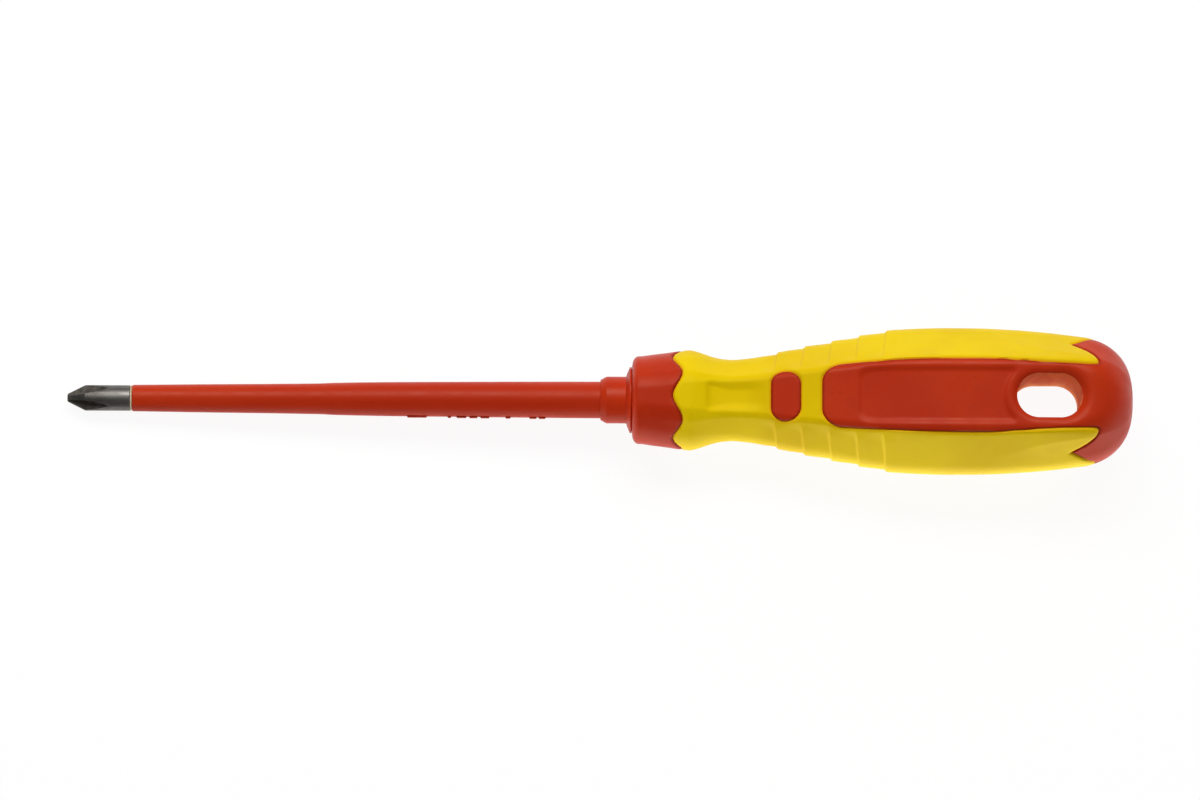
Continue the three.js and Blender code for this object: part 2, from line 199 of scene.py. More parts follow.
SLOT_PLACE = 97.5
SLOT_HALF_LENGTH = 7.9
SLOT_HALF_WIDTH = 5.35
RIM_FRONT = 1.4
RIM_REAR = 2.7
RIM_WIDENS_AT = SLOT_PLACE - 2
RIM_TURN = 0.9

SCOOP_PLACE = 25.3
SCOOP_HALF_LENGTH = 8.0
SCOOP_HALF_WIDTH = 3.6
SCOOP_CORNER = 1.2
SCOOP_DEPTH = 0.62
# Width of the scoop's edge at its front and behind, the run between the two, and its outer rim
SCOOP_EDGE = (1.0, 2.2)
SCOOP_EDGE_RUN = 6.0
SCOOP_OUTER = 0.35

SKIN_THICKNESS = 0.9
SKIN_OVERLAP = 1.0
TUCK = 1.5
# Distances from the seam between which the orange drops, the yellow drops, the yellow's lip
# turns down and the creases run out
ORANGE_DROP = (0.12, -0.62)
YELLOW_DROP = (-0.42, 0.5)
LIP_TURN = (-1.1, -0.2)
LIP_DEPTH = 0.12
CREASE_RUN_OUT = (-0.2, -1.6)

SIDES = 240
BODY_RINGS = 268
DOME_RINGS = 56
DOME_LAST_TURN = math.radians(88.6)
RING_STEP = 0.05
# How much closer the rings lie at creases and at the nose, and the distances where that
# starts and is whole
CREASE_RINGS = (2.5, 1.2, 0.2)
NOSE_RINGS = (3.0, 2.2, 0.2)


# ----------------------------------------------------------------------------------------
# The handle's shape
# ----------------------------------------------------------------------------------------
def clamp(value, low=0.0, high=1.0):
    return max(low, min(high, value))


def mix(a, b, share):
    return a + (b - a) * share


def ease(start, end, value):
    t = clamp((value - start) / (end - start))
    return t * t * (3 - 2 * t)


def smooth_through(stations, place):
    """A smooth line through (place, value) stations, level at its ends and at every peak and
    valley."""
    last = len(stations) - 1
    i = 0
    while i < last - 1 and stations[i + 1][0] <= place:
        i += 1

    def slope(k):
        if k in (0, last):
            return 0.0
        before = (stations[k][1] - stations[k - 1][1]) / (stations[k][0] - stations[k - 1][0])
        after = (stations[k + 1][1] - stations[k][1]) / (stations[k + 1][0] - stations[k][0])
        return 0.0 if before * after <= 0 else 2 * before * after / (before + after)

    (x0, y0), (x1, y1) = stations[i], stations[i + 1]
    run = x1 - x0
    t = clamp((place - x0) / run)
    bend = slope(i) * t * (1 - t) ** 2 - slope(i + 1) * t * t * (1 - t)
    return mix(y0, y1, t * t * (3 - 2 * t)) + run * bend


def dome_share(place):
    t = clamp((place - DOME) / (HANDLE - DOME))
    return (1 - t**DOME_POWER) ** (1 / DOME_POWER)


def corner_radius(place):
    if place < NOSE_ROUNDING:
        t = 1 - place / NOSE_ROUNDING
        return NOSE_RADIUS + (SHOULDER_RADIUS - NOSE_RADIUS) * math.sqrt(1 - t * t)
    return smooth_through(OUTLINE, place)


def from_broad_side(angle):
    """Turn away from the nearer broad side: 0 on a panel's middle line and a quarter turn at a
    side corner."""
    return math.asin(clamp(abs(math.sin(angle))))


def six_sided(angle, flat, side, softness):
    """Radius, for a radius of 1 at the side corners, of a six-sided section: its broad sides face
    Z at a distance of flat, its side corners are arcs of radius side, and sloped faces run
    between them."""
    turn = from_broad_side(angle)
    centre = 1 - side
    sixth = math.pi / 6
    corner_y, corner_z = math.sin(sixth) - centre, math.cos(sixth)
    spread = math.acos(min(side / math.hypot(corner_y, corner_z), 1))
    facing = math.atan2(corner_y, corner_z) + spread
    tangent = math.atan2(centre + side * math.sin(facing), side * math.cos(facing))
    if turn > tangent:
        off = math.pi / 2 - turn
        around = centre * math.cos(off) + math.sqrt(side**2 - (centre * math.sin(off)) ** 2)
    else:
        around = (centre * math.sin(facing) + side) / math.cos(turn - facing)
    broad = flat / math.cos(min(turn, BROAD_TURN))
    return -soft_max(soft_max(-broad, -around, softness), -1.0, CAP_SOFTNESS)


def rear_facet(place, angle, flat_radius, full):
    """Depth that the facet behind the belly takes off the side corners."""
    depth = full - corner_radius(place)
    if depth <= 0:
        return 0.0
    corner = flat_radius * math.tan(math.pi / 6)
    falling = FACET_LOW + FACET_DROP * math.exp(-(place - FACET_START) / FACET_RUN)
    edge = min(corner - FACET_MARGIN, falling)
    turn = clamp(from_broad_side(angle) - math.pi / 3, -FACET_TURN, FACET_TURN)
    ramp = (flat_radius * math.tan(turn) - edge) / (corner - edge)
    return depth * ((ramp + math.hypot(ramp, FACET_SOFTNESS)) / 2) ** FACET_POWER


def crease(place, angle):
    """Stair steps on the side faces: each crease jumps up, then the surface falls back before the
    next one."""
    turn = from_broad_side(angle)
    slant = CREASE_SLANT * (max(turn, SLANT_FROM) - SLANT_MIDDLE)
    since = (place - slant - CREASE_FIRST) / CREASE_PITCH
    if since < -0.5 or since > CREASES - 0.5:
        return 0.0
    from_jump = since - round(since)
    jump = CREASE_RUN / CREASE_PITCH / 2
    if abs(from_jump) < jump:
        share = from_jump / jump
    else:
        share = math.copysign(1 - 2 * (abs(from_jump) - jump), from_jump)
    return share * CREASE_RISE / 2 * ease(*CREASE_FADE, turn)


def form_radius(place, angle):
    """Radius of the handle before seams, windows, pads and creases."""
    full = corner_radius(place)
    behind_belly = place > SIX_SIDED[0][0]
    if behind_belly:
        full = max(full, smooth_through(SIX_SIDED, place))
    flat = smooth_through(FLATS, place)
    softness = mix(EDGE_SOFTNESS, BUTT_SOFTNESS, ease(BUTT_FROM, HANDLE, place))
    radius = full * six_sided(angle, flat, smooth_through(SIDE_ARC, place), softness)
    if behind_belly:
        radius -= rear_facet(place, angle, full * flat, full)
    return radius * dome_share(place)


def box_distance(x, y, half_x, half_y, corner):
    """Distance from a rectangle with round corners round the origin, negative inside."""
    over_x = abs(x) - half_x + corner
    over_y = abs(y) - half_y + corner
    return math.hypot(max(over_x, 0), max(over_y, 0)) + min(max(over_x, over_y), 0) - corner


def soft_max(a, b, width):
    """The larger of a and b, rounded over where they are within width of each other."""
    blend = max(width - abs(a - b), 0) / width
    return max(a, b) + blend * blend * width / 4


def panel_distance(place, along, radius):
    """Distance from the long panel's outline, negative on the panel. along runs round the
    handle."""
    width = smooth_through(PANEL_WIDTH, place)
    edge = radius * math.asin(clamp(width / max(radius, width)))
    over_side = along - edge + PANEL_CORNER
    over_front = PANEL_FRONT + PANEL_CORNER - place
    outside = math.hypot(max(over_side, 0), max(over_front, 0))
    return outside + min(max(over_side, over_front), 0) - PANEL_CORNER


def seam_distance(place, angle, radius):
    """Distance from the edge of the yellow grip along the surface, negative on the grip."""
    radius = max(radius, WAIST)
    along = radius * from_broad_side(angle)
    front_edge = FRONT_EDGE - FRONT_WAVE * math.cos(6 * angle)
    front_slope = 6 * FRONT_WAVE * math.sin(6 * angle) / radius
    front = (front_edge - place) / math.hypot(1, front_slope)
    rear_edge = REAR_NOTCH + REAR_POINT * abs(math.sin(3 * angle))
    rear_slope = 3 * REAR_POINT * math.cos(3 * angle) / radius
    rear = (place - rear_edge) / math.hypot(1, rear_slope)
    oval_half = radius * math.asin(clamp(OVAL_HALF_WIDTH / radius))
    oval = box_distance(place - OVAL_PLACE, along, OVAL_HALF_LENGTH, oval_half, OVAL_HALF_LENGTH)
    panel = panel_distance(place, along, radius)
    return max(front, -oval, soft_max(rear, -panel, POINT_ROUNDING))


def slot_distance(place, across):
    along = place - SLOT_PLACE
    return box_distance(along, across, SLOT_HALF_LENGTH, SLOT_HALF_WIDTH, SLOT_HALF_WIDTH)


def pad_sink(place, across):
    """Depth of the label pad: a soft-edged flat hollow that bends round the hanging slot."""
    middle = (PAD_FRONT + PAD_REAR) / 2
    half = (PAD_REAR - PAD_FRONT) / 2
    outline = box_distance(place - middle, across, half, PAD_HALF_WIDTH, PAD_CORNER)
    to_slot = PAD_TO_SLOT - slot_distance(place, across)
    outline = soft_max(outline, to_slot, PAD_TO_SLOT_SOFTNESS)
    soft = mix(*PAD_EDGE, ease(PAD_FRONT, PAD_FRONT + PAD_EDGE_RUN, place))
    return PAD_DEPTH * ease(soft / 2, -soft, outline)


def rim_sink(place, across):
    """Depth of the round rim of the hanging slot, wider towards the butt."""
    slot_rear = SLOT_PLACE + SLOT_HALF_LENGTH
    reach = mix(RIM_FRONT, RIM_REAR, ease(RIM_WIDENS_AT, slot_rear, place))
    distance = slot_distance(place, across)
    if distance >= reach:
        return 0.0
    inward = RIM_TURN * (reach - max(distance, 0))
    return reach - math.sqrt(reach * reach - inward * inward)


def scoop_sink(place, across):
    """Depth of the finger scoop at the waist, which runs out towards the rear."""
    along = place - SCOOP_PLACE
    outline = box_distance(along, across, SCOOP_HALF_LENGTH, SCOOP_HALF_WIDTH, SCOOP_CORNER)
    front = SCOOP_PLACE - SCOOP_HALF_LENGTH
    soft = mix(*SCOOP_EDGE, ease(front, front + SCOOP_EDGE_RUN, place))
    fade = ease(SCOOP_PLACE + SCOOP_HALF_LENGTH, SCOOP_PLACE, place)
    return SCOOP_DEPTH * fade * ease(SCOOP_OUTER, -soft, outline)


def orange_surface(place, angle):
    """Radius of the orange body and its distance from the seam."""
    radius = form_radius(place, angle)
    seam = seam_distance(place, angle, radius)
    across = radius * math.sin(angle)
    facing = ease(*BROAD_FACING, abs(math.cos(angle)))
    panel_share = ease(*PANEL_SINK_FADES_OUT, place) * ease(*PANEL_SINK_FADES_IN, place)
    sink = PANEL_SINK * panel_share
    sink += (TUCK - PANEL_SINK) * ease(*ORANGE_DROP, seam)
    sink += facing * (pad_sink(place, across) + rim_sink(place, across))
    return radius - sink, seam


def yellow_surface(place, angle):
    """Radius of the yellow grip and its distance from the seam: round-edged, then tucked under
    the orange."""
    radius = form_radius(place, angle)
    seam = seam_distance(place, angle, radius)
    across = radius * math.sin(angle)
    raised = crease(place, angle) * ease(*CREASE_RUN_OUT, seam)
    sink = TUCK * ease(*YELLOW_DROP, seam) + LIP_DEPTH * ease(*LIP_TURN, seam)
    return radius + raised - sink - scoop_sink(place, across), seam


# ----------------------------------------------------------------------------------------
# Modelling helpers
# ----------------------------------------------------------------------------------------
def deselect():
    if bpy.context.object and bpy.context.object.mode != "OBJECT":
        bpy.ops.object.mode_set(mode="OBJECT")
    bpy.ops.object.select_all(action="DESELECT")


def only(piece):
    deselect()
    piece.select_set(True)
    bpy.context.view_layer.objects.active = piece


def pick(piece, kind, wanted):
    """Selects, in edit mode, the verts, edges or faces that wanted() accepts."""
    bpy.ops.mesh.select_mode(type=kind)
    bpy.ops.mesh.select_all(action="DESELECT")
    mesh = bmesh.from_edit_mesh(piece.data)
    parts = {"VERT": mesh.verts, "EDGE": mesh.edges, "FACE": mesh.faces}[kind]
    for part in parts:
        if wanted(part):
            part.select_set(True)
    mesh.select_flush_mode()
    bmesh.update_edit_mesh(piece.data)


def modify(piece, kind, **settings):
    only(piece)
    modifier = piece.modifiers.new(kind.title(), kind)
    for key, value in settings.items():
        setattr(modifier, key, value)
    bpy.ops.object.modifier_apply(modifier=modifier.name)


def cut(piece, cutter, operation="DIFFERENCE"):
    modify(piece, "BOOLEAN", operation=operation, object=cutter, solver="EXACT")
    bpy.data.objects.remove(cutter, do_unlink=True)


def settle(piece, angle=40):
    """Faces outwards, place in the mesh, smooth where the surface is smooth."""
    only(piece)
    bpy.ops.object.transform_apply(location=True, rotation=True, scale=True)
    bpy.ops.object.mode_set(mode="EDIT")
    bpy.ops.mesh.select_all(action="SELECT")
    bpy.ops.mesh.remove_doubles(threshold=0.000002)
    bpy.ops.mesh.normals_make_consistent(inside=False)
    bpy.ops.object.mode_set(mode="OBJECT")
    bpy.ops.object.shade_smooth_by_angle(angle=math.radians(angle))


def spun(name, profile, steps=96):
    """A profile of (x, radius) points in millimetres, drawn point by point and spun round the X
    axis."""
    deselect()
    x, radius = profile[0]
    bpy.ops.mesh.primitive_plane_add(size=MM, location=(x * MM, 0, radius * MM))
    piece = bpy.context.object
    piece.name = name
    bpy.ops.object.transform_apply(location=True, rotation=True, scale=True)
    bpy.ops.object.mode_set(mode="EDIT")
    bpy.ops.mesh.select_mode(type="VERT")
    bpy.ops.mesh.select_all(action="SELECT")
    bpy.ops.mesh.merge(type="CENTER")
    for (x0, r0), (x1, r1) in zip(profile, profile[1:]):
        move = ((x1 - x0) * MM, 0, (r1 - r0) * MM)
        bpy.ops.mesh.extrude_region_move(TRANSFORM_OT_translate={"value": move})
    bpy.ops.mesh.select_all(action="SELECT")
    bpy.ops.mesh.spin(steps=steps, angle=math.tau, center=(0, 0, 0), axis=(1, 0, 0))
    bpy.ops.mesh.select_all(action="SELECT")
    bpy.ops.mesh.remove_doubles(threshold=0.000003)
    bpy.ops.mesh.normals_make_consistent(inside=False)
    bpy.ops.object.mode_set(mode="OBJECT")
    return piece


def rounded(profile, fillet, steps=4):
    """The same profile with each corner rounded by a fillet, which is smaller where its sides are
    short."""
    points = [Vector(point) for point in profile]
    result = [tuple(points[0])]
    for before, corner, after in zip(points, points[1:], points[2:]):
        back, on = before - corner, after - corner
        turn = math.pi - back.angle(on)
        if turn < math.radians(12):
            result.append(tuple(corner))
            continue
        reach = min(fillet * math.tan(turn / 2), 0.45 * back.length, 0.45 * on.length)
        start, end = corner + back.normalized() * reach, corner + on.normalized() * reach
        for i in range(steps + 1):
            t = i / steps
            result.append(tuple(start * (1 - t) ** 2 + corner * 2 * t * (1 - t) + end * t * t))
    result.append(tuple(points[-1]))
    return result


def ring_places():
    """Where the handle's rings lie: close together at the nose and creases, and evenly round the
    dome."""
    crease_weight, *crease_reach = CREASE_RINGS
    nose_weight, *nose_reach = NOSE_RINGS
    weights = []
    for i in range(round(DOME / RING_STEP)):
        place = (i + 0.5) * RING_STEP
        since = (place - CREASE_FIRST) / CREASE_PITCH
        to_crease = abs(since - round(clamp(since, 0, CREASES - 1))) * CREASE_PITCH
        crease_share = crease_weight * ease(*crease_reach, to_crease)
        weights.append(1 + crease_share + nose_weight * ease(*nose_reach, place))
    total = sum(weights)
    places = [0.0]
    run = 0.0
    for i, weight in enumerate(weights):
        run += weight
        while len(places) < BODY_RINGS and run >= total * len(places) / BODY_RINGS:
            places.append((i + 1) * RING_STEP)
    places.append(DOME)
    for i in range(1, DOME_RINGS + 1):
        rise = math.sin(DOME_LAST_TURN * i / DOME_RINGS) ** (2 / DOME_POWER)
        places.append(DOME + (HANDLE - DOME) * rise)
    return places


def ringed_bar(name, places):
    """A round bar along X with one ring for each place, ready to be formed."""
    deselect()
    bpy.ops.mesh.primitive_cylinder_add(
        vertices=SIDES,
        radius=0.01,
        depth=HANDLE * MM,
        end_fill_type="TRIFAN",
        location=((NOSE + HANDLE / 2) * MM, 0, 0),
        rotation=(0, math.pi / 2, 0),
    )
    bar = bpy.context.object
    bar.name = name
    bpy.ops.object.transform_apply(location=True, rotation=True, scale=True)
    bpy.ops.object.mode_set(mode="EDIT")
    first_cuts = 3
    for cuts in (first_cuts, (len(places) - 1) // (first_cuts + 1) - 1):
        pick(bar, "EDGE", lambda edge: abs(edge.verts[0].co.x - edge.verts[1].co.x) > 1e-5)
        bpy.ops.mesh.subdivide(number_cuts=cuts)
    bpy.ops.object.mode_set(mode="OBJECT")
    return bar


def formed(name, surface):
    """The bar pressed to a surface(place, angle), which gives a radius and the distance from the
    seam."""
    places = ring_places()
    bar = ringed_bar(name, places)
    step = HANDLE / (len(places) - 1)
    seam = bar.data.attributes.new("seam", "FLOAT", "POINT")
    for index, vertex in enumerate(bar.data.vertices):
        x, y, z = vertex.co
        ring = round((x / MM - NOSE) / step)
        place = places[ring]
        if math.hypot(y, z) < 0.001:
            vertex.co = ((NOSE + (HANDLE if ring else 0)) * MM, 0, 0)
            seam.data[index].value = HANDLE
            continue
        angle = math.atan2(y, z)
        radius, seam.data[index].value = surface(place, angle)
        y, z = radius * math.sin(angle), radius * math.cos(angle)
        vertex.co = ((NOSE + place) * MM, y * MM, z * MM)
    return bar


# ----------------------------------------------------------------------------------------
# Materials
# ----------------------------------------------------------------------------------------
def set_range(node, low, high, to_low=0.0, to_high=1.0):
    """Fills in the four ends of a Map Range node."""
    ends = {"From Min": low, "From Max": high, "To Min": to_low, "To Max": to_high}
    for name, number in ends.items():
        node.inputs[name].default_value = number


class Finish:
    """A node material: each call adds one node and returns the output that the next one takes."""

    def __init__(self, name):
        self.material = bpy.data.materials.new(name)
        self.material.use_nodes = True
        self.nodes = self.material.node_tree.nodes
        self.links = self.material.node_tree.links
        self.shader = self.nodes["Principled BSDF"]
        self.place = self.nodes.new("ShaderNodeTexCoord").outputs["Object"]

    def set(self, **sockets):
        for name, value in sockets.items():
            self.shader.inputs[name.replace("_", " ")].default_value = value

    def link(self, value, socket):
        if hasattr(value, "is_linked"):
            self.links.new(value, socket)
        else:
            socket.default_value = value

    def noise(self, scale, detail=3.0, rough=0.55, stretch=(1, 1, 1)):
        mapping = self.nodes.new("ShaderNodeMapping")
        mapping.inputs["Scale"].default_value = stretch
        self.links.new(self.place, mapping.inputs["Vector"])
        node = self.nodes.new("ShaderNodeTexNoise")
        node.inputs["Scale"].default_value = scale
        node.inputs["Detail"].default_value = detail
        node.inputs["Roughness"].default_value = rough
        self.links.new(mapping.outputs["Vector"], node.inputs["Vector"])
        return node.outputs["Fac"]

    def spread(self, value, low, high, to_low=0.0, to_high=1.0):
        node = self.nodes.new("ShaderNodeMapRange")
        node.interpolation_type = "SMOOTHSTEP"
        self.link(value, node.inputs["Value"])
        set_range(node, low, high, to_low, to_high)
        return node.outputs["Result"]

    def math(self, operation, a, b=0.0):
        node = self.nodes.new("ShaderNodeMath")
        node.operation = operation
        self.link(a, node.inputs[0])
        self.link(b, node.inputs[1])
        return node.outputs["Value"]

    def blend(self, share, low, high):
        node = self.nodes.new("ShaderNodeMix")
        node.data_type = "RGBA"
        self.link(share, node.inputs["Factor"])
        for value, index in ((low, 6), (high, 7)):
            self.link(value if hasattr(value, "is_linked") else (*value, 1.0), node.inputs[index])
        return node.outputs[2]

    def attribute(self, name):
        node = self.nodes.new("ShaderNodeAttribute")
        node.attribute_name = name
        return node.outputs["Fac"]

    def axis(self, name):
        node = self.nodes.new("ShaderNodeSeparateXYZ")
        self.links.new(self.place, node.inputs[0])
        return node.outputs[name]

    def bumped(self, height, depth, strength=1.0, below=None):
        node = self.nodes.new("ShaderNodeBump")
        node.inputs["Strength"].default_value = strength
        node.inputs["Distance"].default_value = depth
        self.link(height, node.inputs["Height"])
        if below is not None:
            self.links.new(below, node.inputs["Normal"])
        return node.outputs["Normal"]

    def finish(self, colour, roughness, normal):
        self.link(colour, self.shader.inputs["Base Color"])
        self.link(roughness, self.shader.inputs["Roughness"])
        self.links.new(normal, self.shader.inputs["Normal"])
        return self.material


def srgb(red, green, blue):
    def linear(value):
        share = value / 255
        return share / 12.92 if share <= 0.04045 else ((share + 0.055) / 1.055) ** 2.4

    return (linear(red), linear(green), linear(blue))


ORANGE = srgb(203, 54, 18)
ORANGE_DEEP = srgb(195, 47, 16)
# Dark orange for the specks and drag lines, and for the painted shade along the grip's seam
ORANGE_DARK_AND_SEAM_SHADE = srgb(138, 26, 12)
# Painted light: the slot's walls are the body's orange, made lighter to stand in for the light on
# them
PAINTED_LIGHT_WALL_ORANGE = srgb(252, 172, 104)
PAINTED_LIGHT_WALL_ORANGE_DEEP = srgb(240, 146, 82)
YELLOW = srgb(248, 213, 6)
YELLOW_WARM = srgb(240, 202, 6)
YELLOW_LIP = srgb(252, 184, 20)
PALE = srgb(236, 220, 188)
PALE_DARK = srgb(216, 192, 148)
STEEL = srgb(122, 119, 115)
STEEL_LINES = srgb(106, 103, 99)
STEEL_RUBBED = srgb(134, 130, 126)
STEEL_DARK = srgb(66, 61, 56)
FLUTE_LIGHT = srgb(84, 79, 73)
FLUTE_RUBBED = srgb(124, 119, 112)

# Specular level of each plastic, and the tints that keep white light from paling it
ORANGE_SHEEN = 0.17
WALL_SHEEN = 0.03
YELLOW_SHEEN = 0.07
ORANGE_TINT = (1, 0.86, 0.68, 1)
YELLOW_TINT = (1, 0.92, 0.5, 1)


def orange_plastic(name, roughness, grain, painted_seam_shade=False):
    """Moulded orange: slight clouds in the colour, fine grain, and painted shade along the seam
    where there is one."""
    f = Finish(name)
    clouds = f.spread(f.noise(60, 3), 0.35, 0.65)
    colour = f.blend(clouds, ORANGE, ORANGE_DEEP)
    specks = f.spread(f.noise(900, 2), 0.62, 0.78, 0.0, 0.25)
    colour = f.blend(specks, colour, ORANGE_DARK_AND_SEAM_SHADE)
    if painted_seam_shade:
        # Painted shade: the orange darkens towards the yellow grip's seam
        seam = f.spread(f.attribute("seam"), -0.2, 0.75, 0.75, 0.0)
        colour = f.blend(seam, colour, ORANGE_DARK_AND_SEAM_SHADE)
    gloss = f.spread(f.noise(240, 4), 0.3, 0.7, roughness - 0.05, roughness + 0.07)
    soft = f.bumped(f.noise(150, 3), 0.00006, 0.5)
    normal = f.bumped(f.noise(2600, 2, 0.6), grain, 1.0, soft)
    f.set(Specular_IOR_Level=ORANGE_SHEEN, Specular_Tint=ORANGE_TINT)
    return f.finish(colour, gloss, normal)


def slot_wall_painted_light_finish():
    """The pierced wall of the hanging slot: the same orange with painted light, and quite matt.
    """
    f = Finish("orange slot wall with painted light")
    streaks = f.spread(f.noise(300, 3, 0.5, (1, 1, 0.2)), 0.35, 0.65)
    colour = f.blend(streaks, PAINTED_LIGHT_WALL_ORANGE, PAINTED_LIGHT_WALL_ORANGE_DEEP)
    gloss = f.spread(f.noise(500, 3), 0.3, 0.7, 0.6, 0.72)
    f.set(Specular_IOR_Level=WALL_SHEEN, Specular_Tint=ORANGE_TINT)
    return f.finish(colour, gloss, f.bumped(f.noise(1800, 3, 0.6, (1, 1, 0.15)), 0.00001))


def orange_sleeve_finish():
    """Drawn insulation: orange with faint lengthwise drag lines."""
    f = Finish("orange insulation")
    clouds = f.spread(f.noise(70, 3, 0.5, (0.25, 1, 1)), 0.35, 0.65)
    colour = f.blend(clouds, ORANGE, ORANGE_DEEP)
    drag = f.noise(900, 3, 0.6, (0.05, 1, 1))
    colour = f.blend(f.spread(drag, 0.6, 0.8, 0.0, 0.2), colour, ORANGE_DARK_AND_SEAM_SHADE)
    gloss = f.spread(f.noise(300, 3), 0.3, 0.7, 0.36, 0.48)
    soft = f.bumped(drag, 0.00002, 0.6)
    normal = f.bumped(f.noise(2400, 2), 0.000012, 1.0, soft)
    f.set(Specular_IOR_Level=ORANGE_SHEEN, Specular_Tint=ORANGE_TINT)
    return f.finish(colour, gloss, normal)


def yellow_rubber():
    """Soft yellow overmould: satin, finely grained, warmer where it thins out at its edges."""
    f = Finish("yellow soft plastic")
    clouds = f.spread(f.noise(50, 3), 0.35, 0.65)
    colour = f.blend(clouds, YELLOW, YELLOW_WARM)
    specks = f.spread(f.noise(1100, 2), 0.64, 0.8, 0.0, 0.2)
    colour = f.blend(specks, colour, YELLOW_WARM)
    lip = f.spread(f.attribute("seam"), -0.75, -0.1, 0.0, 0.85)
    colour = f.blend(lip, colour, YELLOW_LIP)
    gloss = f.spread(f.noise(260, 4), 0.3, 0.7, 0.4, 0.52)
    soft = f.bumped(f.noise(130, 3), 0.00008, 0.5)
    normal = f.bumped(f.noise(2200, 2, 0.6), 0.000014, 1.0, soft)
    f.set(Specular_IOR_Level=YELLOW_SHEEN, Specular_Tint=YELLOW_TINT)
    return f.finish(colour, gloss, normal)


def pale_insulation():
    """The warning layer under the orange: matt, with small specks."""
    f = Finish("pale insulation")
    colour = f.blend(f.spread(f.noise(500, 3), 0.35, 0.65), PALE, PALE_DARK)
    gloss = f.spread(f.noise(800, 3), 0.3, 0.7, 0.45, 0.6)
    return f.finish(colour, gloss, f.bumped(f.noise(2500, 2), 0.00001))


def flute_steel():
    """The ground flutes: dark and matt, with fine lines across."""
    f = Finish("blackened steel")
    colour = f.blend(f.spread(f.noise(600, 4), 0.3, 0.7), STEEL_DARK, FLUTE_LIGHT)
    worn = f.math("MULTIPLY", f.attribute("edge"), f.spread(f.noise(900, 3), 0.3, 0.6, 0.1, 0.6))
    colour = f.blend(worn, colour, FLUTE_RUBBED)
    gloss = f.spread(f.noise(700, 4), 0.3, 0.7, 0.55, 0.7)
    f.set(Metallic=1.0)
    return f.finish(colour, gloss, f.bumped(f.noise(2600, 3, 0.6, (1, 0.2, 0.2)), 0.00001))


def blade_steel():
    """Satin steel with rolling lines along the bar, duller towards the point and rubbed along
    its edges."""
    f = Finish("satin steel")
    along = f.noise(1500, 4, 0.6, (0.05, 1, 1))
    black = f.spread(f.axis("X"), 0.004, 0.0115, 0.75, 0.0)
    patches = f.spread(f.noise(420, 4), 0.3, 0.62, 0.75, 1.0)
    black = f.math("MULTIPLY", black, patches)
    colour = f.blend(f.spread(along, 0.3, 0.7), STEEL, STEEL_LINES)
    colour = f.blend(black, colour, STEEL_DARK)
    worn = f.math("MULTIPLY", f.attribute("edge"), f.spread(f.noise(900, 3), 0.3, 0.6, 0.35, 1.0))
    colour = f.blend(worn, colour, STEEL_RUBBED)
    gloss = f.spread(f.noise(700, 4), 0.3, 0.7, 0.42, 0.54)
    soft = f.bumped(along, 0.000015, 0.8)
    normal = f.bumped(f.noise(3500, 2), 0.000006, 1.0, soft)
    f.set(Metallic=1.0)
    return f.finish(colour, gloss, normal)


def stand_in_finish():
    """What the covered CAD solids carry."""
    f = Finish("covered")
    colour = f.blend(f.noise(100), ORANGE, ORANGE_DEEP)
    return f.finish(colour, 0.5, f.bumped(f.noise(1500), 0.00001))


# ----------------------------------------------------------------------------------------
# Pieces
# ----------------------------------------------------------------------------------------
def dress(piece, material, node):
    """Gives a piece its material and its place in the frame."""
    piece.data.materials.clear()
    piece.data.materials.append(material)
    piece.data.polygons.foreach_set("material_index", [0] * len(piece.data.polygons))
    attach(piece, "root")
    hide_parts(node)


BAR_RADIUS = 3.0
POINT_RADIUS = 0.9
POINT_ANGLE = math.radians(26.5)
THIN_RADIUS = 2.1
THIN_LENGTH = 20
FLUTE_ANGLE = math.radians(46)
FLUTE_WHEEL = 20.5
FLUTE_WHEEL_HALF = 3.2
FLUTE_WEB = 0.78
FLUTE_LOW_AT = 0.6
# How far below the turned surface a face has to lie to be part of a flute
FLUTE_DEPTH = 0.045
# Bevels, each as a width and the least angle in degrees that it takes
WHEEL_BEVEL = (0.22, 80)
TURNED_BEVEL = (0.16, 20)
GROUND_BEVEL = (0.06, 32)


def bevelled(piece, width, degrees, segments):
    angle = math.radians(degrees)
    modify(
        piece,
        "BEVEL",
        width=width * MM,
        segments=segments,
        limit_method="ANGLE",
        angle_limit=angle,
    )


def flute_wheel(turn):
    """A grinding wheel with a V rim, standing where it grinds one flute of the point."""
    half = FLUTE_WHEEL_HALF
    inner = FLUTE_WHEEL - half / math.tan(FLUTE_ANGLE)
    profile = [(-half, 0), (-half, inner), (0, FLUTE_WHEEL), (half, inner), (half, 0)]
    wheel = spun("flute_wheel", profile, 160)
    bevelled(wheel, *WHEEL_BEVEL, segments=3)
    centre = Vector((FLUTE_LOW_AT, 0, FLUTE_WEB + FLUTE_WHEEL)) * MM
    stand = Matrix.Translation(centre) @ Matrix.Rotation(math.pi / 2, 4, "Z")
    wheel.matrix_world = Matrix.Rotation(turn, 4, "X") @ stand
    only(wheel)
    bpy.ops.object.transform_apply(location=True, rotation=True, scale=True)
    return wheel


